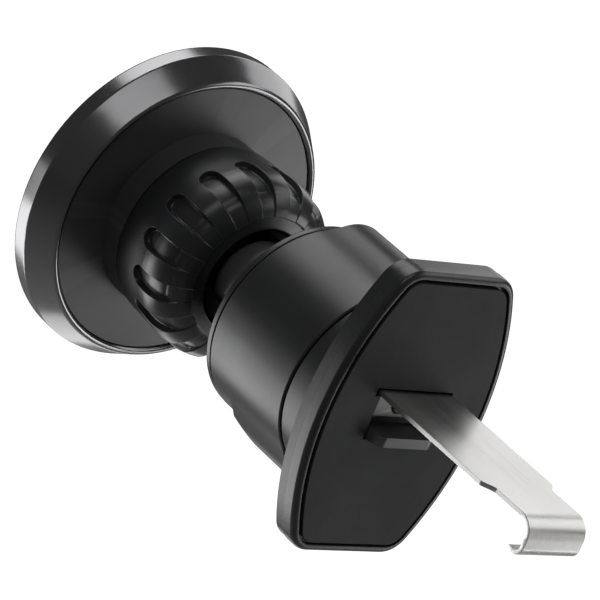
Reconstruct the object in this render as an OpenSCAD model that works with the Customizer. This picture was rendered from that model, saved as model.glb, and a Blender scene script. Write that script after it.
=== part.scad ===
// Magnetic phone mount for a car air vent.
// The main axis lies along Y: the hook points to +Y, into the vent, and the
// phone rests on the face that looks to -Y. Z is up, along the vent plate.
// The origin is the middle of the grip pad's outer face.

/* [Head] */
// Outer diameter of the metal rim
head_d = 58.8; // [56:0.2:66]
// Distance from the ball's centre to the flat back of the head
head_reach = 25.1; // [24:0.1:30]
// Diameter of the flat back plate
back_plate_d = 50.6; // [48:0.2:52]
// Diameter of the ring of magnets, outside
magnet_ring_d = 47; // [44:0.5:48]
// Number of magnets in the ring
magnet_count = 16; // [8:1:24]

/* [Ball joint] */
// Diameter of the ball
ball_d = 17; // [16.6:0.1:17.2]
// Largest diameter of the clamping nut
nut_d = 35.1; // [34:0.1:36]
// Number of grip slots round the nut
nut_slots = 15; // [8:1:18]
// Width of a grip slot
nut_slot_w = 3.8; // [2:0.1:4]

/* [Knob] */
// Diameter of the knob's barrel
knob_d = 36.2; // [35.6:0.1:37]
// Length of the knob's barrel
knob_len = 20.6; // [20.2:0.1:20.6]
// Radius at the crest of a finger wing
wing_r = 20.05; // [19.6:0.05:21]
// Length of the short wing, from the knob's rear to the foot of its ramp
wing_len = 15.7; // [10:0.1:19]

/* [Vent plate] */
// Width of the plate at its waist
plate_w = 36; // [35.6:0.1:40]
// Height of the plate
plate_h = 52; // [50:0.5:58]
// Radius of the plate's long curved sides
side_r = 52.9; // [46:0.1:70]
// Thickness of the plate
plate_t = 5.1; // [5:0.1:5.6]

/* [Hook] */
// Length of the hook beyond the pad, fully out
hook_reach = 39.9; // [36:0.1:46]
// Width of the strip
strip_w = 15.6; // [13:0.1:16]
// Width of the curled tip
tip_w = 12.4; // [8:0.1:13]
// Thickness of the strip
strip_t = 0.8; // [0.6:0.1:1]
// Travel of the hook
hook_travel = 12; // [8:0.5:12]

/* [Hidden] */
$fn = 96;
tiny = 0.01;
over = 1;               // how far a cutter runs past the face it cuts

// Stations along the main axis
y_ball = -41.2;
y_boss = -9.07;         // rear face of the housing's round boss
y_wall = -3.2;          // joint between plate frame and rear housing
y_floor = -1.2;         // floor of the pad's recess
y_face = -2.4;          // inner side of the frame's face
y_rim = -0.15;          // front edge of the frame's rim
y_knob = -9.45;         // rear face of the knob
y_knob_front = y_knob - knob_len;
y_hub_end = -30;
y_sleeve = -29;         // front end of the drive sleeve
y_hub_wall = y_hub_end + 3.6;
y_cap = -30.2;         // inner face of the front cap
cap_t = 1.35;
y_back = y_ball - head_reach;
y_collar = y_back + 4.7;
y_mouth = y_ball - 3.2; // mouth of the clamping nut
y_head_front = y_back - 8.8;

// Head
head_r = head_d / 2;
back_r = back_plate_d / 2;
head_screw_pcr = 16.6;   // radius of the circle that the screws stand on
socket_screw_pcr = 8;
hub_screw_pcr = 13.5;

// Ball joint
ball_r = ball_d / 2;
cup_r = ball_r + 0.95;  // spherical cup in the socket
liner_r = ball_r + 0.15;
liner_t = 0.65;
nut_r = nut_d / 2;
thread_r = 14.55;
thread_gap = 0.3;
mouth_r = 9.75;
finger_r = 9.5;
finger_w = 80;          // degrees
finger_tip = 2.4;       // how far the fingers reach past the ball's centre
first_finger = 125;
first_slot = 6.5;
neck_r = 4.3;
stud_r = 3;

// Knob and hub
knob_r = knob_d / 2;
hub_r = 11.5;
hub_bore_r = 9.5;
spigot_r = 13.2;
sleeve_r = 15.4;
groove_r = 13.3;
pin_r = 1.5;
pin_gap = 0.15;
pin_y = -12.3;
pin_root = 4.6;         // inner end of a drive pin, from the axis
wing_angle = 108;
wing_fillet_r = 30;
wing_tip_r = 9;
ramp_len = 5.4;
boss_r = 17.8;
flange_r = 15.4;
y_flange = -5.9;
y_seat = -7.4;          // face of the housing that the hub's flange sits on

// Plate
plate_hw = plate_w / 2;
plate_hh = plate_h / 2;
corner_r = 5;
rim_w = 1.3;            // width of the frame's rim
pad_gap = 0.6;          // dark gap between rim and pad
wall_t = 1.6;
step = 0.1;             // how far the housing is set in from the frame
screw_x = 8.5;
screw_z = 20;
screw_r = 0.95;
screw_gap = 0.05;

// Window and hook
win_hw = 8.25;          // half-width of the strip's slot
open_hw = 7;            // half-width of the opening under it
slot_bottom = 3.45;
flange_hw = 6.6;
win_top = 4.95;
win_bottom = -4.5;
strip_top = 4.65;
flange_front = -0.6;    // front of the hook's upright flange
flange_bottom = -0.4;
bend_r = 3.4;
lip_r = 2;
lip_bottom = -2;
lip_y = hook_reach - 3.2;
shoulder_y = 27.4;
shoulder_len = 2.6;
rest_reach = 2.8;
rest_hw = 6.4;
rest_top = -2.5;
rest_t = 1.8;
rivet_x = 1.6;
rivet_z = 1.5;
rivet_r = 0.8;
carriage_r = 9.2;
carriage_end = -14.1;

// ---- Helpers --------------------------------------------------------------

// Turns a shape built along Z so that its axis lies along the main axis.
module on_axis() {
  rotate([-90, 0, 0]) children();
}

// A solid of revolution from points [radius, y].
module revolve(points) {
  on_axis() rotate_extrude() polygon(points);
}

// A cylinder along the main axis between two stations.
module rod(r, y0, y1) {
  translate([0, y0, 0]) on_axis() cylinder(r = r, h = y1 - y0);
}

// A ring along the main axis between two stations.
module ring(r_out, r_in, y0, y1) {
  difference() {
    rod(r_out, y0, y1);
    rod(r_in, y0 - over, y1 + over);
  }
}

// Extrudes an X-Z outline between two stations.
module slab(y0, y1) {
  translate([0, y1, 0]) rotate([90, 0, 0]) linear_extrude(y1 - y0) children();
}

// Places children at a polar position in the X-Z plane.
module polar(r, a) {
  translate([r * cos(a), 0, r * sin(a)]) children();
}

// One quarter of the plate's outline, from the waist to the flat end.
function quarter(hw, hh, rc, arc) =
  let(side_c = arc - hw, lean = asin((hh - rc) / (arc - rc)), corner_x = (arc - rc) * cos(lean) - side_c)
  concat(
    [for (i = [0:12]) [arc * cos(lean * i / 12) - side_c, arc * sin(lean * i / 12)]],
    [for (i = [1:8]) [
      corner_x + rc * cos(lean + (90 - lean) * i / 8),
      hh - rc + rc * sin(lean + (90 - lean) * i / 8)
    ]]
  );

// Outline of the plate: two long arcs, flat ends and round corners.
module lens2d(hw, hh, rc, arc = side_r) {
  q = quarter(hw, hh, rc, arc);
  last = len(q) - 1;
  polygon(concat(
    q,
    [for (i = [last:-1:0]) [-q[i][0], q[i][1]]],
    [for (i = [1:last]) [-q[i][0], -q[i][1]]],
    [for (i = [last:-1:1]) [q[i][0], -q[i][1]]]
  ));
}

// Outline of the window: a slot for the strip over a narrower opening.
module window2d() {
  translate([-win_hw, slot_bottom]) square([2 * win_hw, win_top - slot_bottom]);
  translate([-open_hw, win_bottom]) square([2 * open_hw, win_top - win_bottom]);
}

// A pan-head screw along the main axis, its head towards -Y (dir 1) or +Y (dir -1).
module screw(y_head, head_r, head_h, shank_r, shank_len, dir = 1) {
  translate([0, y_head, 0]) scale([1, dir, 1]) {
    difference() {
      rod(head_r, -head_h, 0);
      for (a = [0, 90]) {
        rotate([0, a, 0]) translate([-head_r * 0.6, -head_h - tiny, -0.2])
          cube([head_r * 1.2, head_h / 2, 0.4]);
      }
    }
    rod(shank_r, 0, shank_len);
  }
}

// ---- Head -----------------------------------------------------------------

module face_pad() {
  pad_r = head_r - 2.5;
  color("#1c1c1e") revolve([
    [0, y_head_front + 2], [pad_r, y_head_front + 2], [pad_r, y_head_front + 0.3],
    [pad_r - 0.3, y_head_front], [0, y_head_front]
  ]);
}

// Conical metal skirt, trapped between the back plate's lip and the magnet carrier's.
module head_rim() {
  in_r = back_r + 0.1;
  color("#9a9a9c") revolve([
    [in_r, y_back - 1.8], [in_r, y_back], [in_r + 0.25, y_back + 0.5], [in_r + 0.8, y_back + 0.7],
    [in_r + 1.3, y_back + 0.4], [head_r, y_back - 4.6], [head_r, y_head_front + 1.1],
    [head_r - 0.5, y_head_front + 0.6], [head_r - 2.4, y_head_front + 0.6],
    [head_r - 2.4, y_head_front + 2],
    [in_r, y_head_front + 2], [in_r, y_head_front + 2.6], [head_r - 2, y_head_front + 2.6],
    [head_r - 2, y_back - 5], [in_r + 1.4, y_back - 1.8]
  ]);
}

module head_back() {
  color("#38393b") difference() {
    union() {
      rod(back_r, y_back - 1.8, y_back);
      rod(back_r + 1.1, y_back - 2.6, y_back - 1.8);
      rod(16.7, y_back - tiny, y_collar);
      for (a = [45:90:315]) {
        polar(head_screw_pcr, a) rod(2.4, y_back - 3.1, y_back - 2.5);
      }
    }
    rod(thread_r + 0.3, y_collar - 2.1, y_collar + over);
    for (a = [0, 120, 240]) {
      polar(socket_screw_pcr, a) rod(1.3, y_back - 3, y_collar);
      polar(socket_screw_pcr, a) rod(2.5, y_back - 3, y_back + 1);
    }
    for (a = [45:90:315]) {
      polar(head_screw_pcr, a) rod(screw_r + screw_gap, y_back - 3.2, y_back - 0.5);
    }
  }
}

module shunt_plate() {
  color("#8d9094") difference() {
    ring(magnet_ring_d / 2 + 0.3, 12, y_back - 3.9, y_back - 3.1);
    for (a = [45:90:315]) {
      polar(head_screw_pcr, a) rod(1.3, y_back - 4, y_back - 3);
    }
  }
}

module magnet_carrier() {
  color("#2a2a2c") difference() {
    union() {
      rod(back_r - 0.2, y_head_front + 2, y_back - 3.9);
      rod(head_r - 2.2, y_head_front + 2.6, y_head_front + 3.4);
    }
    ring(magnet_ring_d / 2 + 0.1, magnet_ring_d / 2 - 4.1, y_back - 6.2, y_back - 3.8);
    rod(11.5, y_back - 6.2, y_back - 3.8);
    for (a = [45:90:315]) {
      polar(head_screw_pcr, a) rod(1.1, y_back - 7, y_back - 3.8);
      polar(head_screw_pcr, a) rod(1.95, y_back - 7, y_back - 5.7);
    }
  }
}

module magnet_ring() {
  pitch = 360 / magnet_count;
  gap = 2.5;            // degrees between neighbours
  color("#b9bcc0") for (i = [0:magnet_count - 1]) {
    translate([0, y_back - 6.2, 0]) rotate([0, i * pitch, 0]) on_axis()
      rotate_extrude(angle = pitch - gap) translate([magnet_ring_d / 2 - 4, 0]) square([4, 2.2]);
  }
}

module head_screws() {
  color("#77797c") for (a = [45:90:315]) {
    polar(head_screw_pcr, a) screw(y_back - 5.7, 1.8, 0.9, screw_r, 5);
  }
}

// ---- Ball joint -----------------------------------------------------------

// Centre of the ball as the origin of its children.
module at_ball() {
  translate([0, y_ball, 0]) children();
}

module socket() {
  y_rim_front = y_ball - 6.4;
  y_base = y_collar - 2.1;
  color("#151517") {
    difference() {
      revolve([
        [0, y_base], [thread_r, y_base], [thread_r, y_rim_front - 2.6],
        [thread_r - 2.7, y_rim_front], [0, y_rim_front]
      ]);
      at_ball() sphere(r = cup_r);
      for (a = [0, 120, 240]) {
        polar(socket_screw_pcr, a) rod(1.05, y_base - over, y_base + 6);
      }
    }
    for (turn = [0, 180]) {
      finger(first_finger + turn, y_rim_front);
    }
  }
}

// One of two springy jaws that wrap past the ball's widest line.
module finger(a, y_root) {
  root = 8.2;
  translate([0, y_root - tiny, 0]) rotate([0, -a - finger_w / 2, 0]) on_axis()
    rotate_extrude(angle = finger_w)
      difference() {
        translate([root, 0]) square([finger_r - root, y_ball + finger_tip - y_root]);
        translate([0, y_ball - y_root]) circle(r = ball_r + 0.2);
      }
}

module socket_screws() {
  color("#77797c") for (a = [0, 120, 240]) {
    polar(socket_screw_pcr, a) screw(y_collar - 3.7, 2.2, 0.9, 1, 6.4);
  }
}

// Outline of the nut, [radius, y], without its inner side.
function nut_outline(depth) = [
  [nut_r - 0.95 - depth, y_collar + 0.6],
  [nut_r - 0.6 - depth, y_collar + 1.2],
  [nut_r - depth, y_collar + 7],
  [nut_r - 0.1 - depth, y_mouth - 5.6],
  [nut_r - 0.3 - depth, y_mouth - 4],
  [nut_r - 1 - depth, y_mouth - 2.6],
  [nut_r - 2.3 - depth * 0.55, y_mouth - 1.35 - depth * 0.25],
  [nut_r - 3.8 - depth * 0.2, y_mouth - 0.65 - depth * 0.25],
  [nut_r - 4.9, y_mouth - 0.4]
];

module nut_solid(depth) {
  revolve(concat([[0, y_collar + 0.6]], nut_outline(depth), [[mouth_r + 0.3, y_mouth], [0, y_mouth]]));
}

module ball_nut() {
  slot_end = y_mouth - 11.2;
  slot_depth = 1.25;
  color("#2b2c2f") difference() {
    union() {
      nut_solid(slot_depth);
      difference() {
        nut_solid(0);
        for (i = [0:nut_slots - 1]) {
          rotate([0, -(first_slot + i * 360 / nut_slots), 0]) {
            translate([8, slot_end + nut_slot_w / 2, -nut_slot_w / 2]) cube([14, 14, nut_slot_w]);
            translate([8, slot_end + nut_slot_w / 2, 0]) rotate([0, 90, 0])
              cylinder(d = nut_slot_w, h = 14);
          }
        }
      }
    }
    revolve([
      [0, y_collar], [thread_r + thread_gap, y_collar], [thread_r + thread_gap, y_mouth - 5.9],
      [mouth_r, y_mouth - 0.9], [mouth_r, y_mouth + over], [0, y_mouth + over]
    ]);
  }
}

module ball_shell() {
  difference() {
    at_ball() sphere(r = liner_r + liner_t);
    at_ball() sphere(r = liner_r);
  }
}

module ball_seat() {
  color("#d8d8d2") intersection() {
    ball_shell();
    rod(4.2, y_ball - cup_r, y_ball - ball_r / 2);
  }
}

module friction_ring() {
  color("#0f0f10") intersection() {
    ball_shell();
    rod(cup_r, y_ball - 7.3, y_ball - 6.5);
  }
}

module ball_stud() {
  shoulder_r = 6.4;
  color("#4a4b4e") {
    at_ball() sphere(r = ball_r);
    rod(neck_r, y_ball + 6, y_cap - cap_t);
    translate([0, y_cap - cap_t - 0.9, 0]) on_axis() cylinder(r = shoulder_r, h = 0.9, $fn = 6);
    rod(stud_r, y_cap - cap_t - tiny, y_hub_wall - 0.4);
  }
}

// ---- Knob and hub ---------------------------------------------------------

// Loose seal ring round the stud's neck, between the ball and the hexagon.
module neck_ring() {
  y1 = y_cap - cap_t - 0.95;
  color("#111112") ring(neck_r + 1.7, neck_r + 0.05, y1 - 0.7, y1);
}

module front_cap() {
  color("#3a3b3d") difference() {
    union() {
      revolve([
        [0, y_cap - cap_t], [knob_r - 0.4, y_cap - cap_t], [knob_r - 0.1, y_cap - cap_t + 0.3],
        [knob_r - 0.1, y_cap], [0, y_cap]
      ]);
      rod(hub_r, y_cap - tiny, y_hub_end);
      ring(sleeve_r - 0.3, hub_r + 0.4, y_cap - tiny, y_cap + 0.5);
    }
    rod(stud_r + 0.1, y_cap - cap_t - over, y_hub_end + over);
  }
}

// Outline of one wing: a round crest blended into the barrel by two hollow arcs.
module wing2d() {
  tip_c = wing_r - wing_tip_r;
  fillet_c = knob_r + wing_fillet_r;
  span = wing_tip_r + wing_fillet_r;
  swing = acos((fillet_c * fillet_c + tip_c * tip_c - span * span) / (2 * fillet_c * tip_c));
  centre = [fillet_c * cos(swing), fillet_c * sin(swing)];
  translate([tip_c, 0]) circle(r = wing_tip_r);
  difference() {
    polygon([[0, 0], [centre[0], -centre[1]], [tip_c, 0], centre]);
    for (s = [-1, 1]) {
      translate([centre[0], s * centre[1]]) circle(r = wing_fillet_r);
    }
  }
}

module knob_shell() {
  edge = 0.25;
  ramp_y = y_knob - wing_len;
  color("#4b4c4f") difference() {
    union() {
      revolve([
        [0, y_knob_front], [knob_r - edge, y_knob_front], [knob_r, y_knob_front + edge],
        [knob_r, y_knob - edge], [knob_r - edge, y_knob], [0, y_knob]
      ]);
      slab(y_knob_front + edge, y_knob - edge) rotate(wing_angle) wing2d();
      difference() {
        slab(ramp_y, y_knob - edge) rotate(wing_angle + 180) wing2d();
        rotate([0, -wing_angle - 180, 0]) translate([0, 0, -knob_r]) linear_extrude(2 * knob_r)
          polygon([
            [knob_r - 0.2, ramp_y - over], [knob_r - 0.1, ramp_y], [wing_r + tiny, ramp_y + ramp_len],
            [wing_r + over, ramp_y + ramp_len], [wing_r + over, ramp_y - over]
          ]);
      }
    }
    rod(sleeve_r, y_knob_front - over, y_knob - 1.55);
    rod(spigot_r + 0.1, y_knob - 2, y_knob + over);
  }
}

module drive_sleeve() {
  color("#c9b48a") difference() {
    rod(sleeve_r, y_sleeve, y_knob - 1.6);
    rod(hub_r + 0.1, y_sleeve - over, y_sleeve + 2);
    rod(groove_r, y_sleeve + 1.2, y_knob);
  }
}

module front_washer() {
  color("#b4b6b8") ring(sleeve_r - 0.4, hub_r + 0.3, y_sleeve - 0.4, y_sleeve);
}

module rear_washer() {
  color("#101011") ring(knob_r - 0.9, spigot_r + 0.3, y_knob + 0.05, y_boss);
}

module hub_sleeve() {
  slot_hw = pin_r + pin_gap;
  slot_y0 = pin_y - hook_travel - slot_hw;
  slot_y1 = pin_y + slot_hw;
  color("#323335") difference() {
    union() {
      rod(hub_r, y_hub_end, y_flange);
      rod(flange_r, y_seat, y_flange);
    }
    rod(hub_bore_r, y_hub_wall, y_flange + over);
    rod(stud_r + screw_gap, y_hub_end - over, y_hub_wall + over);
    for (y = [slot_y0 + slot_hw, slot_y1 - slot_hw]) {
      translate([-hub_r - over, y, 0]) rotate([0, 90, 0]) cylinder(r = slot_hw, h = 2 * (hub_r + over));
    }
    translate([-hub_r - over, slot_y0 + slot_hw, -slot_hw])
      cube([2 * (hub_r + over), slot_y1 - slot_y0 - 2 * slot_hw, 2 * slot_hw]);
    for (a = [45:90:315]) {
      polar(hub_screw_pcr, a) rod(screw_r + 0.1, y_seat - over, y_flange + over);
    }
  }
}

module hub_screws() {
  color("#77797c") for (a = [45:90:315]) {
    polar(hub_screw_pcr, a) screw(y_flange, 1.6, 0.9, screw_r, 2.8, -1);
  }
}

// ---- Vent plate -----------------------------------------------------------

module plate_housing() {
  inner_hw = plate_hw - wall_t;
  inner_hh = plate_hh - wall_t;
  color("#3d3e40") difference() {
    union() {
      slab(-plate_t, y_wall)
        lens2d(plate_hw - step, plate_hh - step, corner_r - step, side_r - step);
      rod(boss_r, y_boss, y_wall - 0.5);
      rod(spigot_r, y_boss - 1.5, y_boss + tiny);
    }
    slab(-plate_t + 1.5, y_wall + over) lens2d(inner_hw, inner_hh, corner_r - wall_t, side_r - wall_t);
    rod(boss_r - 1.8, y_seat, y_wall + over);
    rod(hub_r + 0.1, y_boss - 2, y_seat + over);
    for (a = [45:90:315]) {
      polar(hub_screw_pcr, a) rod(screw_r + screw_gap, y_boss + 0.2, y_seat + over);
    }
    for (x = [-screw_x, screw_x], z = [-screw_z, screw_z]) {
      translate([x, 0, z]) rod(screw_r + 0.15, -plate_t - over, y_wall + over);
      translate([x, 0, z]) rod(2, -plate_t - over, -plate_t + 0.9);
    }
  }
}

module plate_frame() {
  inner_hw = plate_hw - wall_t;
  inner_hh = plate_hh - wall_t;
  color("#4a4b4d") difference() {
    union() {
      difference() {
        slab(y_wall, y_rim) lens2d(plate_hw, plate_hh, corner_r);
        slab(y_wall - over, y_face) lens2d(inner_hw, inner_hh, corner_r - wall_t, side_r - wall_t);
      }
      for (x = [-screw_x, screw_x], z = [-screw_z, screw_z]) {
        translate([x, 0, z]) rod(2.4, -plate_t + 1.5, y_face + tiny);
      }
    }
    slab(y_floor, y_rim + over)
      lens2d(plate_hw - rim_w, plate_hh - rim_w, corner_r - rim_w, side_r - rim_w);
    slab(y_wall - over, y_rim + over) window2d();
    for (x = [-screw_x, screw_x], z = [-screw_z, screw_z]) {
      translate([x, 0, z]) rod(screw_r + screw_gap, -plate_t, y_floor - 0.3);
    }
    translate([-rest_hw - 0.1, y_face - over, win_bottom - 3]) cube([2 * rest_hw + 0.2, over + 0.6, 4]);
  }
}

module plate_screws() {
  color("#77797c") for (x = [-screw_x, screw_x], z = [-screw_z, screw_z]) {
    translate([x, 0, z]) screw(-plate_t + 0.9, 1.8, 0.8, screw_r, 2.6);
  }
}

module vent_pad() {
  inset = rim_w + pad_gap;
  color("#2f3032") difference() {
    slab(y_floor, 0) lens2d(plate_hw - inset, plate_hh - inset, corner_r - inset, side_r - inset);
    slab(y_floor - over, over) window2d();
  }
}

// Fixed tongue under the vent blade, with its root behind the frame's face.
module blade_rest() {
  nose_r = 1.8;
  y_root = y_face - 0.6;
  color("#6a6b6e") {
    translate([0, 0, rest_top - rest_t]) linear_extrude(rest_t) {
      translate([-rest_hw, y_root]) square([2 * rest_hw, rest_reach - nose_r - y_root]);
      translate([-rest_hw + nose_r, y_root]) square([2 * (rest_hw - nose_r), rest_reach - y_root]);
      for (s = [-1, 1]) {
        translate([s * (rest_hw - nose_r), rest_reach - nose_r]) circle(r = nose_r);
      }
    }
    translate([-rest_hw, y_root, win_bottom - 2.8]) cube([2 * rest_hw, 1.2, rest_top - win_bottom + 2.8]);
  }
}

// ---- Hook -----------------------------------------------------------------

// Side view of the hook, drawn as [y, z].
module hook_side2d() {
  bend_c = [hook_reach - bend_r, strip_top - bend_r];
  lip_c = [hook_reach - lip_r, lip_bottom + lip_r];
  translate([flange_front - strip_t, strip_top - strip_t])
    square([bend_c[0] - flange_front + strip_t, strip_t]);
  translate([flange_front - strip_t, flange_bottom]) square([strip_t, strip_top - flange_bottom]);
  intersection() {
    translate(bend_c) difference() {
      circle(r = bend_r);
      circle(r = bend_r - strip_t);
    }
    translate(bend_c) square(bend_r);
  }
  translate([hook_reach - strip_t, lip_c[1]]) square([strip_t, bend_c[1] - lip_c[1]]);
  intersection() {
    translate(lip_c) difference() {
      circle(r = lip_r);
      circle(r = lip_r - strip_t);
    }
    translate([lip_c[0], lip_c[1] - lip_r]) square(lip_r);
  }
  translate([lip_y, lip_bottom]) square([lip_c[0] - lip_y, strip_t]);
}

// Plan of the hook, drawn as [x, y]: a wide strip with soft shoulders.
module hook_plan2d() {
  steps = 8;
  half = strip_w / 2;
  drop = (strip_w - tip_w) / 2;
  side = [for (i = [0:steps]) [
    half - drop * (1 - cos(180 * i / steps)) / 2,
    shoulder_y + shoulder_len * i / steps
  ]];
  right = concat([[half, flange_front - over]], side, [[tip_w / 2, hook_reach + over]]);
  left = [for (i = [len(right) - 1:-1:0]) [-right[i][0], right[i][1]]];
  polygon(concat(right, left));
}

module hook() {
  color("#c9cacb") difference() {
    intersection() {
      rotate([90, 0, 90]) translate([0, 0, -strip_w / 2 - over])
        linear_extrude(strip_w + 2 * over) hook_side2d();
      translate([0, 0, lip_bottom - over]) linear_extrude(strip_top - lip_bottom + 2 * over) hook_plan2d();
    }
    for (s = [-1, 1]) {
      translate([s * rivet_x, 0, rivet_z]) rod(rivet_r, -over * 3, over);
      translate([s > 0 ? flange_hw : -strip_w, flange_front - strip_t - over, flange_bottom - over])
        cube([strip_w - flange_hw, strip_t + 2 * over, slot_bottom + 0.3 - flange_bottom + over]);
    }
  }
}

module hook_rivets() {
  color("#a8aaac") for (s = [-1, 1]) {
    translate([s * rivet_x, 0, rivet_z]) {
      rod(rivet_r, flange_front - strip_t - 5, flange_front);
      revolve([
        [0, flange_front], [rivet_r + 0.6, flange_front],
        [rivet_r + 0.4, flange_front + 0.3], [0, flange_front + 0.4]
      ]);
    }
  }
}

// Slide block that carries the hook inside the hub sleeve.
module carriage() {
  y_front = flange_front - strip_t;
  color("#1d1e20") difference() {
    rod(carriage_r, carriage_end, y_front);
    translate([-carriage_r - over, y_face - 1, -carriage_r - over])
      cube([2 * (carriage_r + over), 4, carriage_r + over - 1.9]);
    translate([-carriage_r - over, y_face - 1, win_top - 0.3])
      cube([2 * (carriage_r + over), 4, carriage_r]);
    for (s = [-1, 1]) {
      translate([s * rivet_x, 0, rivet_z]) rod(rivet_r, y_front - 5, y_front + over);
      translate([s > 0 ? pin_root : -carriage_r - over, pin_y, 0])
        rotate([0, 90, 0]) cylinder(r = pin_r, h = carriage_r + over - pin_root);
      translate([s > 0 ? flange_hw : -carriage_r - over, y_face - 1, -2])
        cube([carriage_r + over - flange_hw, 4, 8]);
    }
  }
}

module drive_pins() {
  tip = groove_r - 0.3;
  color("#9c9ea1") for (s = [-1, 1]) {
    translate([s > 0 ? pin_root : -tip, pin_y, 0]) rotate([0, 90, 0])
      cylinder(r = pin_r, h = tip - pin_root);
  }
}

face_pad();
head_rim();
head_back();
magnet_carrier();
magnet_ring();
shunt_plate();
head_screws();
socket();
socket_screws();
ball_nut();
ball_seat();
friction_ring();
ball_stud();
neck_ring();
front_cap();
knob_shell();
drive_sleeve();
front_washer();
rear_washer();
hub_sleeve();
hub_screws();
plate_housing();
plate_frame();
plate_screws();
vent_pad();
blade_rest();
hook();
hook_rivets();
carriage();
drive_pins();
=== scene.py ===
import bpy, bmesh, math
from mathutils import Matrix, Vector


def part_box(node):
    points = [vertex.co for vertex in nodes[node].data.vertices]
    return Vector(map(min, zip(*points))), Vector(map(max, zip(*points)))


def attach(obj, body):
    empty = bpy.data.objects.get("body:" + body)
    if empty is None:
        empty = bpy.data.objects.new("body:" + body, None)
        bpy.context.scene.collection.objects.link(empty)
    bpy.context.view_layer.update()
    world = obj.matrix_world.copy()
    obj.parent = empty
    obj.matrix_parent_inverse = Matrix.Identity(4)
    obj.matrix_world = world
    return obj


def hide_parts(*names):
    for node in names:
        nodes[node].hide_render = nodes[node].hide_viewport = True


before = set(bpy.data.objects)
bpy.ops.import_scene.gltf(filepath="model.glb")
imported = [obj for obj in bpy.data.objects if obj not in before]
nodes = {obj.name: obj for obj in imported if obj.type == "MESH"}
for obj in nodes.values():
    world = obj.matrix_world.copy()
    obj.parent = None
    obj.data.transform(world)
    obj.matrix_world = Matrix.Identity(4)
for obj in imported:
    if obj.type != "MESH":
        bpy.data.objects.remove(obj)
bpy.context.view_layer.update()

MM = 0.001
SAME_POINT = 1e-6  # vertices this close are one, in metres
scene = bpy.context.scene


def add_object(name, data):
    """Makes an object of the data and puts it in the scene."""
    o = bpy.data.objects.new(name, data)
    scene.collection.objects.link(o)
    return o


# ------------------------------------------------------------------ camera
# The camera's axes and place in the part's frame.
RIGHT = Vector((-0.74547, 0.55427, 0.37022))
UP = Vector((0.06333, -0.49402, 0.86714))
BACK = Vector((0.66352, 0.66987, 0.33317))
CAMERA_PLACE = Vector((0.451898, 0.423590, 0.230112))
LENS_MM = 245.6
SENSOR_MM = 36


def long_camera():
    """A long lens that looks at the vent plate from above and from one side."""
    data = bpy.data.cameras.new("camera")
    data.lens = LENS_MM
    data.sensor_width = SENSOR_MM
    cam = add_object("camera", data)
    axes = Matrix((RIGHT, UP, BACK)).transposed().to_4x4()
    cam.matrix_world = Matrix.Translation(CAMERA_PLACE) @ axes
    scene.camera = cam
    scene.view_settings.view_transform = "Standard"


long_camera()


# --------------------------------------------------------------- materials
# A Mix node that mixes colours has several sockets of each name, so they are told by number.
MIX_COLOUR_A = 6
MIX_COLOUR_B = 7
MIX_COLOUR_OUT = 2
NOISE_ROUGHNESS = 0.55
NOISE_LOW, NOISE_HIGH = 0.3, 0.7      # nearly all of a noise's values lie between these
EDGE_FLAT, EDGE_SHARP = 0.52, 0.62    # pointiness where an edge starts to count, and where it counts fully


def tint(colour, factor, lift=0.0):
    return tuple(c * factor + lift for c in colour)


class Mat:
    """A small builder for node materials on object coordinates."""

    def __init__(self, name, colour, rough, metallic=0.0, **sockets):
        self.m = bpy.data.materials.new(name)
        self.m.use_nodes = True
        self.t = self.m.node_tree
        self.b = self.t.nodes["Principled BSDF"]
        self.b.inputs["Base Color"].default_value = (*colour, 1)
        self.b.inputs["Roughness"].default_value = rough
        self.b.inputs["Metallic"].default_value = metallic
        for key, value in sockets.items():
            self.b.inputs[key.replace("_", " ")].default_value = value
        self.coord = self.t.nodes.new("ShaderNodeTexCoord").outputs["Object"]

    def set_socket(self, socket, value):
        """Links a socket to another one, or sets it to a value."""
        if isinstance(value, bpy.types.NodeSocket):
            self.t.links.new(value, socket)
        else:
            socket.default_value = value

    def node(self, kind, **inputs):
        n = self.t.nodes.new(kind)
        for key, value in inputs.items():
            self.set_socket(n.inputs[key.replace("_", " ")], value)
        return n

    def noise(self, scale, detail, stretch=(1, 1, 1)):
        place = self.node("ShaderNodeMapping", Vector=self.coord, Scale=stretch).outputs["Vector"]
        n = self.node("ShaderNodeTexNoise", Vector=place, Scale=scale, Detail=detail,
                      Roughness=NOISE_ROUGHNESS)
        return n.outputs["Fac"]

    def ramp(self, fac, low, high, from_low=NOISE_LOW, from_high=NOISE_HIGH):
        """Goes from low to high as fac goes from from_low to from_high."""
        n = self.node("ShaderNodeMapRange", Value=fac, From_Min=from_low, From_Max=from_high,
                      To_Min=low, To_Max=high)
        return n.outputs["Result"]

    def mix(self, fac, a, b):
        """The colour a where fac is 0, and b where it is 1."""
        n = self.t.nodes.new("ShaderNodeMix")
        n.data_type = "RGBA"
        self.set_socket(n.inputs["Factor"], fac)
        for number, colour in ((MIX_COLOUR_A, a), (MIX_COLOUR_B, b)):
            self.set_socket(n.inputs[number], (*colour, 1) if isinstance(colour, tuple) else colour)
        return n.outputs[MIX_COLOUR_OUT]

    def link(self, out, name):
        self.t.links.new(out, self.b.inputs[name])

    def bump(self, height, strength, distance):
        n = self.node("ShaderNodeBump", Height=height, Strength=strength, Distance=distance)
        self.link(n.outputs["Normal"], "Normal")

    def worn_edges(self, colour, worn, amount):
        """Lightens the convex edges a little, as handling does."""
        pointy = self.t.nodes.new("ShaderNodeNewGeometry").outputs["Pointiness"]
        return self.mix(self.ramp(pointy, 0.0, amount, EDGE_FLAT, EDGE_SHARP), colour, worn)


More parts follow.
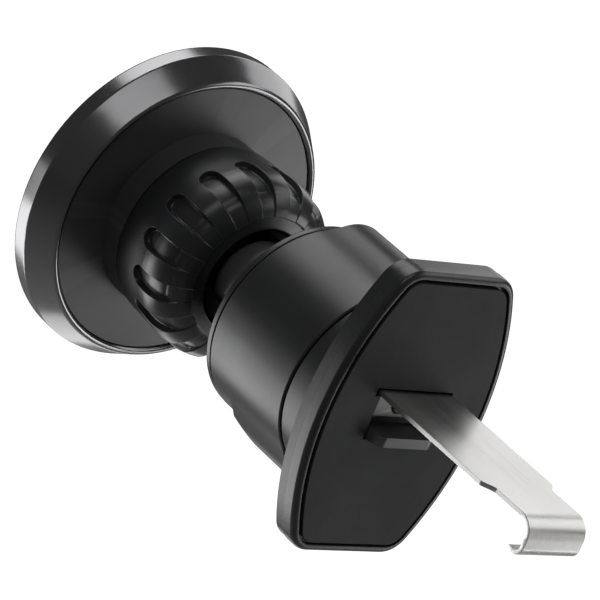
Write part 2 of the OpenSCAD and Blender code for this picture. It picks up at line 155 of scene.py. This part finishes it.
def plastic(name, colour, rough, grain=900.0, strength=0.12, swing=0.06):
    """Moulded plastic: a slight cloud in its tone and gloss, lighter edges and a fine grain."""
    m = Mat(name, colour, rough)
    tone = m.mix(m.ramp(m.noise(60.0, 4.0), 0.0, 1.0), tint(colour, 0.88), tint(colour, 1.14))
    m.link(m.worn_edges(tone, tint(colour, 1.7, 0.02), 0.45), "Base Color")
    m.link(m.ramp(m.noise(35.0, 5.0), rough - swing, rough + swing), "Roughness")
    m.bump(m.noise(grain, 2.0), strength, 0.06 * MM)
    return m.m


def rubber(name, colour, rough, grain, strength):
    """Matt rubber with a coarser grain."""
    m = Mat(name, colour, rough)
    m.link(m.mix(m.ramp(m.noise(90.0, 5.0), 0, 1), tint(colour, 0.86), tint(colour, 1.12)), "Base Color")
    m.link(m.ramp(m.noise(50.0, 4.0), rough - 0.06, rough + 0.05), "Roughness")
    m.bump(m.noise(grain, 3.0), strength, 0.08 * MM)
    return m.m


def brushed(name, colour, rough, stretch):
    """Metal with hair lines in its tone, gloss and relief, and a dull cloud."""
    m = Mat(name, colour, rough, metallic=1.0, Anisotropic=0.4)
    hair = m.noise(260.0, 3.0, stretch)
    tone = m.mix(m.ramp(hair, 0, 1), tint(colour, 0.95), tint(colour, 1.05))
    m.link(m.mix(m.ramp(m.noise(45.0, 3.0), 0, 0.35), tone, tint(colour, 0.9)), "Base Color")
    m.link(m.ramp(hair, rough - 0.05, rough + 0.08), "Roughness")
    m.bump(hair, 0.16, 0.03 * MM)
    return m.m


def socket_painted_shade():
    """Black nylon made nearly black as painted shade: it stands in for the dark gap round the ball in the
    nut's mouth.
    """
    m = Mat("socket_painted_shade", (0.003, 0.003, 0.003), 0.95, Specular_IOR_Level=0.08)
    cloud = m.ramp(m.noise(80.0, 4.0), 0, 1)
    m.link(m.mix(cloud, (0.002, 0.002, 0.002), (0.004, 0.004, 0.004)), "Base Color")
    m.link(m.ramp(m.noise(60.0, 3.0), 0.88, 1.0), "Roughness")
    m.bump(m.noise(600.0, 2.0), 0.1, 0.04 * MM)
    return m.m


def rim_metal():
    """Dark plated metal, polished, with very faint turning marks."""
    m = Mat("rim_metal", (0.20, 0.20, 0.205), 0.20, metallic=1.0)
    cloud = m.ramp(m.noise(25.0, 3.0), 0, 1)
    m.link(m.mix(cloud, (0.185, 0.185, 0.19), (0.215, 0.215, 0.22)), "Base Color")
    m.link(m.ramp(m.noise(12.0, 2.0), 0.18, 0.23), "Roughness")
    m.bump(m.noise(300.0, 2.0, (0.3, 5, 0.3)), 0.003, 0.02 * MM)
    return m.m


def hook_steel():
    """Brushed steel strip, painted dark behind the grip pad's outer face, which is at Y = 0, as painted
    shade for the shadowed window.
    """
    m = Mat("hook_steel", (0.62, 0.615, 0.60), 0.36, metallic=1.0, Anisotropic=0.3)
    hair = m.noise(420.0, 2.0, (5, 0.15, 5))
    bright = m.mix(m.ramp(hair, 0, 1), (0.59, 0.585, 0.575), (0.66, 0.655, 0.64))
    bright = m.mix(m.ramp(m.noise(30.0, 3.0), 0, 0.25), bright, (0.52, 0.515, 0.50))
    along = m.node("ShaderNodeSeparateXYZ", Vector=m.coord).outputs["Y"]
    # Painted shade: the steel's colour turns dark behind the pad's outer face, where the window lies in
    # shadow.
    window_shade = m.ramp(along, 1.0, 0.0, -0.4 * MM, 1.2 * MM)
    m.link(m.mix(window_shade, bright, (0.10, 0.10, 0.098)), "Base Color")
    m.link(m.ramp(hair, 0.33, 0.41), "Roughness")
    m.bump(hair, 0.04, 0.02 * MM)
    return m.m


MATS = {
    "knob": plastic("knob_plastic", (0.020, 0.021, 0.023), 0.34, grain=700, strength=0.16),
    "cap": plastic("cap_plastic", (0.022, 0.023, 0.025), 0.30, grain=700, strength=0.12),
    "housing": plastic("housing_plastic", (0.021, 0.022, 0.024), 0.33, grain=700, strength=0.14),
    "frame": plastic("frame_plastic", (0.024, 0.025, 0.027), 0.30, grain=700, strength=0.12),
    "pad": rubber("pad_rubber", (0.024, 0.025, 0.027), 0.72, 520.0, 0.45),
    "rest": plastic("rest_plastic", (0.055, 0.056, 0.058), 0.32, grain=600, strength=0.10),
    "hook": hook_steel(),
    "nut": plastic("nut_plastic", (0.022, 0.023, 0.025), 0.30, grain=700, strength=0.14),
    # Painted shade: the socket is nearly black so that it reads as the shaded gap round the ball.
    "socket": socket_painted_shade(),
    # Painted light: the ball's grey is lighter than the other black plastics, standing in for its soft
    # highlight, which no lamp reaches.
    "ball": plastic("ball_plastic", (0.075, 0.076, 0.078), 0.30, grain=500, strength=0.04, swing=0.03),
    "rim": rim_metal(),
    "back": plastic("back_plastic", (0.046, 0.047, 0.050), 0.40, grain=800, strength=0.12),
    "face": rubber("face_rubber", (0.016, 0.016, 0.017), 0.80, 420.0, 0.5),
    "inner": plastic("inner_plastic", (0.03, 0.03, 0.032), 0.45),
    "acetal": plastic("acetal", (0.55, 0.52, 0.44), 0.35),
    # Painted shade: the rivets are made dark so that they sink into the shade of the window under the
    # strip.
    "rivet": brushed("rivet_steel_painted_shade", (0.12, 0.12, 0.12), 0.55, (3, 3, 3)),
    "steel": brushed("small_steel", (0.5, 0.5, 0.51), 0.30, (3, 3, 3)),
    "magnet": brushed("magnet_nickel", (0.6, 0.6, 0.62), 0.2, (1, 1, 1)),
    "seal": rubber("seal_rubber", (0.010, 0.010, 0.010), 0.7, 600.0, 0.3),
}
NODE_MAT = {
    "face_pad": "face", "head_rim": "rim", "head_back": "back", "magnet_carrier": "inner",
    "magnet_ring": "magnet", "shunt_plate": "steel", "head_screws": "steel", "socket": "socket",
    "socket_screws": "steel", "ball_nut": "nut", "ball_seat": "acetal", "friction_ring": "seal",
    "ball_stud": "ball", "neck_ring": "seal", "front_cap": "cap", "knob_shell": "knob",
    "drive_sleeve": "acetal", "front_washer": "steel", "rear_washer": "seal", "hub_sleeve": "inner",
    "hub_screws": "steel", "plate_housing": "housing", "plate_frame": "frame", "plate_screws": "steel",
    "vent_pad": "pad", "blade_rest": "rest", "hook": "hook", "hook_rivets": "rivet",
    "carriage": "inner", "drive_pins": "steel",
}
# Width of the broken edges, in millimetres, on the nodes that show them.
BEVEL = {
    "face_pad": 0.3, "head_rim": 0.25, "head_back": 0.15, "socket": 0.2, "knob_shell": 0.5,
    "front_cap": 0.15, "plate_housing": 0.25, "vent_pad": 0.12, "blade_rest": 0.3, "hook": 0.12,
}
BEVEL_SEGMENTS = 3
SHARP = math.radians(28)      # an edge that turns more than this is bevelled
RIM_SHARP = math.radians(18)  # the rim's cone meets its neighbours at lower angles


def dress(o, key, bevel_mm=0.0):
    """Gives an object its material, smooth shading and broken edges."""
    o.data.materials.clear()
    o.data.materials.append(MATS[key])
    o.data.polygons.foreach_set("use_smooth", [True] * len(o.data.polygons))
    weld = o.modifiers.new("weld", "WELD")
    weld.merge_threshold = SAME_POINT
    if bevel_mm:
        bevel = o.modifiers.new("bevel", "BEVEL")
        bevel.width = bevel_mm * MM
        bevel.segments = BEVEL_SEGMENTS
        bevel.limit_method = "ANGLE"
        bevel.angle_limit = RIM_SHARP if key == "rim" else SHARP
        bevel.harden_normals = True
        bevel.use_clamp_overlap = True
    normals = o.modifiers.new("normals", "WEIGHTED_NORMAL")
    normals.keep_sharp = True


for name, o in nodes.items():
    dress(o, NODE_MAT[name], BEVEL.get(name, 0.0))


# --------------------------------------------------------------------- nut
SLOTS = 15
FIRST_SLOT = math.radians(6.5)  # angle of the first slot from +X
SLOT_HALF = 1.9 * MM            # half of a slot's width
SLOT_DEPTH = 1.15 * MM
SLOT_WALL = 0.32 * MM           # width over which a slot's side goes down
SLOT_REACH = 11.2 * MM          # from the mouth to a slot's round end
SLOT_FADE = 3.0 * MM            # the slots grow shallow over this length before the mouth
NOSE_DEPTH = 0.22               # share of the depth that is left at the mouth
LIP = 0.25                      # distance of the nose's front lip from the mouth, in millimetres
THREAD_R = 14.85 * MM
MOUTH_R = 9.75 * MM
OUTLINE_STEP = 0.12             # distance of the outline's points, in millimetres


def smooth_line(knots, step):
    """Points along a Catmull-Rom curve through the knots, about a step apart."""
    points = []
    for k in range(len(knots) - 1):
        p0, p1, p2, p3 = (Vector(knots[min(max(k + j, 0), len(knots) - 1)]) for j in (-1, 0, 1, 2))
        steps = max(3, round((p2 - p1).length / step))
        for j in range(steps):
            t = j / steps
            points.append(0.5 * (2 * p1 + (p2 - p0) * t + (2 * p0 - 5 * p1 + 4 * p2 - p3) * t ** 2
                                 + (3 * p1 - p0 - 3 * p2 + p3) * t ** 3))
    points.append(Vector(knots[-1]))
    return points


def nut_outside(radius, rear, mouth):
    """Outline from the rear edge over the barrel and the nose, as (radius, Y)."""
    # Distance in from the widest radius, and distance back from the mouth, in millimetres.
    length = (mouth - rear) / MM
    knots = [(0.95, length), (0.55, length - 0.5), (0.3, 10.8), (0.08, 8.4), (0, 6.8), (0.15, 5.2),
             (0.55, 3.7), (1.3, 2.5), (2.4, 1.5), (3.8, 0.7), (5.2, LIP)]
    return [(radius - q.x * MM, mouth - q.y * MM) for q in smooth_line(knots, OUTLINE_STEP)]


def nut_inside(radius, rear, mouth):
    """Outline from the nose's lip over the ring of the mouth and down the thread, as (radius, Y)."""
    # Distance in from the widest radius, and distance back from the mouth, in millimetres.
    step_down = [(5.28, 0.3), (5.32, 0.55), (5.4, 0.6), (5.6, 0.6)]
    # Distance out from the mouth's radius, and distance back from the mouth, in millimetres.
    ring = [(0.5, 0.32), (0.3, 0.3), (0.08, 0.38), (0, 0.6), (0, 0.9), (0.3, 1.3)]
    return ([(radius - a * MM, mouth - b * MM) for a, b in step_down]
            + [(MOUTH_R + a * MM, mouth - b * MM) for a, b in ring]
            + [(THREAD_R, mouth - 5.9 * MM), (THREAD_R, rear + 0.2 * MM), (THREAD_R + 0.3 * MM, rear)])


def slot_half(y, slot_end):
    """Half width of the slot at a station: round at its end, straight ahead of it."""
    if y >= slot_end:
        return SLOT_HALF
    return max(0.3 * SLOT_HALF, math.sqrt(max(0.0, SLOT_HALF ** 2 - (slot_end - y) ** 2)))


def slot_cut(u, y, slot_end, mouth):
    """How deep the surface lies under the turned outline, at u to the side of a slot's middle."""
    inside = SLOT_HALF - (abs(u) if y >= slot_end else math.hypot(u, y - slot_end))
    t = min(1.0, max(0.0, inside / SLOT_WALL))
    fade = min(1.0, max(0.0, (mouth - LIP * MM - y) / SLOT_FADE))
    return SLOT_DEPTH * (NOSE_DEPTH + (1 - NOSE_DEPTH) * fade ** 1.5) * t * t * (3 - 2 * t)


def pitch_columns():
    """Columns across one pitch, dense at the slot's walls, as (share of the slot, share of the land)."""
    side = [0.0, 0.35, 0.6, 0.75, 0.82, 0.86, 0.90, 0.94, 0.97, 1.0]
    land = [0.03, 0.07, 0.12, 0.2, 0.35, 0.6, 0.85]
    across = [(s, 0.0) for s in side] + [(1.0, t) for t in land]
    return [(-a, -b) for a, b in reversed(across[1:])] + across


def grip_nut():
    """The clamping nut: a turned shell with round-ended grip slots that run out over its nose."""
    lo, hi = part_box("ball_nut")
    radius = (hi[0] - lo[0]) / 2
    rear, mouth = lo[1], hi[1]
    slot_end = mouth - SLOT_REACH + SLOT_HALF
    outside = nut_outside(radius, rear, mouth)
    outline = outside + nut_inside(radius, rear, mouth)
    columns = pitch_columns()
    half_pitch = math.pi * radius / SLOTS

    verts = []
    for row, (r, y) in enumerate(outline):
        half = slot_half(y, slot_end)
        for i in range(SLOTS):
            for a, b in columns:
                u = a * half + b * (half_pitch - half)
                angle = FIRST_SLOT + 2 * math.pi * i / SLOTS + u / radius
                depth = slot_cut(u, y, slot_end, mouth) if row < len(outside) else 0
                verts.append(((r - depth) * math.cos(angle), y, (r - depth) * math.sin(angle)))
    faces = []
    per_row = SLOTS * len(columns)
    for row in range(len(outline)):
        here, ahead = row * per_row, (row + 1) % len(outline) * per_row
        for c in range(per_row):
            n = (c + 1) % per_row
            faces.append((here + c, here + n, ahead + n, ahead + c))

    mesh = bpy.data.meshes.new("grip_nut")
    mesh.from_pydata(verts, [], faces)
    mesh.validate()
    bm = bmesh.new()
    bm.from_mesh(mesh)
    bmesh.ops.recalc_face_normals(bm, faces=bm.faces)
    bm.to_mesh(mesh)
    bm.free()
    mesh.polygons.foreach_set("use_smooth", [True] * len(mesh.polygons))
    mesh.materials.append(MATS["nut"])
    o = add_object("grip_nut", mesh)
    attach(o, "nut")
    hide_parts("ball_nut")


grip_nut()


# -------------------------------------------------------- vent plate frame
FRAME_ROUND = 0.95 * MM  # width of the rounding on the frame's outer front edge
FRAME_ROUND_SEGMENTS = 6
FRAME_BREAK_MM = 0.16    # width of its other broken edges
FRONT_BAND = 0.05 * MM   # an edge this near the front face belongs to it
FLAT = math.radians(1)   # faces that turn less than this are one flat face
SIDE_TILT = 0.5          # a face whose normal has less than this along Y is a side face


def frame_bezel():
    """The plate's frame with its wide soft outer edge; its other edges are only broken."""
    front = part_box("plate_frame")[1][1]
    bm = bmesh.new()
    bm.from_mesh(nodes["plate_frame"].data)
    bmesh.ops.remove_doubles(bm, verts=bm.verts, dist=SAME_POINT)
    bmesh.ops.dissolve_limit(bm, angle_limit=FLAT, verts=bm.verts, edges=bm.edges)

    def sharp(e):
        return e.is_manifold and e.calc_face_angle(0) > SHARP

    def outer_front(e):
        """True on the front face's outer outline: the side face there looks away from the axis."""
        if any(v.co.y < front - FRONT_BAND for v in e.verts):
            return False
        side = min(e.link_faces, key=lambda f: abs(f.normal.y))
        mid = (e.verts[0].co + e.verts[1].co) / 2
        return abs(side.normal.y) < SIDE_TILT and side.normal.dot(Vector((mid.x, 0, mid.z))) > 0

    wide = [e for e in bm.edges if sharp(e) and outer_front(e)]
    bmesh.ops.bevel(bm, geom=wide, offset=FRAME_ROUND, segments=FRAME_ROUND_SEGMENTS, profile=0.5,
                    affect="EDGES", clamp_overlap=True)
    mesh = bpy.data.meshes.new("frame_bezel")
    bm.to_mesh(mesh)
    bm.free()
    o = add_object("frame_bezel", mesh)
    dress(o, "frame", FRAME_BREAK_MM)
    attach(o, "base")
    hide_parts("plate_frame")


frame_bezel()


# ------------------------------------------------------------------ lights
OBJECT_MIDDLE = Vector((0, -0.02, 0))
ALONG_Z = (0, 0, 1)
ALONG_Y = (0, 1, 0)


def softbox(name, place, facing, width, height, radiance, up=ALONG_Z):
    """A rectangle light at a place, in metres; its brightness is given as seen in a mirror."""
    data = bpy.data.lights.new(name, "AREA")
    data.shape = "RECTANGLE"
    data.size = width
    data.size_y = height
    data.energy = radiance * math.pi * width * height
    light = add_object(name, data)
    z = -Vector(facing).normalized()
    y = (Vector(up) - z * z.dot(Vector(up))).normalized()
    x = y.cross(z)
    light.matrix_world = Matrix.Translation(place) @ Matrix((x, y, z)).transposed().to_4x4()
    light.visible_camera = False


def round_object(name, direction, distance, width, height, radiance, up=ALONG_Z):
    """A softbox in a direction from the middle of the object, turned to face it."""
    v = Vector(direction).normalized()
    softbox(name, OBJECT_MIDDLE + v * distance, -v, width, height, radiance, up)


round_object("top_back", (-0.06, -0.67, 0.73), 0.6, 0.40, 0.24, 3.0, ALONG_Y)
round_object("overhead", (0.45, 0.17, 0.87), 0.6, 0.45, 0.24, 1.5, ALONG_Y)
round_object("over_far_edge", (-0.66, 0.33, 0.67), 0.6, 0.22, 0.50, 2.0, ALONG_Y)
round_object("far_side", (-0.80, -0.42, 0.40), 0.6, 0.30, 0.40, 1.5)
round_object("low_front", (0.43, -0.67, -0.60), 0.42, 0.22, 0.22, 3.8)
round_object("low_right", (0.70, -0.66, -0.28), 0.5, 0.16, 0.20, 1.4)
round_object("low_side", (-0.33, -0.38, -0.87), 0.42, 0.18, 0.22, 1.6)
softbox("behind_pad", (-0.36, 0.20, -0.10), (0, -1, 0), 0.22, 0.34, 4.6)

# ------------------------------------------------------------------ studio
WHITE = (1, 1, 1, 1)
FILL = 0.10  # strength of the even light from all round
FLOOR_Z = -0.45
FLOOR_HALF = 6.0
FLOOR_CELLS = 8
FLOOR_TONE = 0.75
FLOOR_ROUGH = 0.9


def studio_world():
    """A dim even light from all round, which the camera itself sees as white."""
    world = bpy.data.worlds.new("studio")
    scene.world = world
    world.use_nodes = True
    tree = world.node_tree
    background = tree.nodes["Background"]
    background.inputs["Color"].default_value = WHITE
    seen = tree.nodes.new("ShaderNodeLightPath")
    dim = tree.nodes.new("ShaderNodeMapRange")
    dim.inputs["To Min"].default_value = FILL
    dim.inputs["To Max"].default_value = 1.0
    tree.links.new(seen.outputs["Is Camera Ray"], dim.inputs["Value"])
    tree.links.new(dim.outputs["Result"], background.inputs["Strength"])


def studio_floor():
    """A wide pale floor, which the camera itself sees as white."""
    bm = bmesh.new()
    bmesh.ops.create_grid(bm, x_segments=FLOOR_CELLS, y_segments=FLOOR_CELLS, size=FLOOR_HALF)
    mesh = bpy.data.meshes.new("floor")
    bm.to_mesh(mesh)
    bm.free()
    floor = add_object("floor", mesh)
    floor.location.z = FLOOR_Z
    material = bpy.data.materials.new("floor_white")
    material.use_nodes = True
    tree = material.node_tree
    shader = tree.nodes["Principled BSDF"]
    shader.inputs["Base Color"].default_value = (FLOOR_TONE, FLOOR_TONE, FLOOR_TONE, 1)
    shader.inputs["Roughness"].default_value = FLOOR_ROUGH
    shader.inputs["Emission Color"].default_value = WHITE
    seen = tree.nodes.new("ShaderNodeLightPath")
    tree.links.new(seen.outputs["Is Camera Ray"], shader.inputs["Emission Strength"])
    mesh.materials.append(material)


studio_world()
studio_floor()
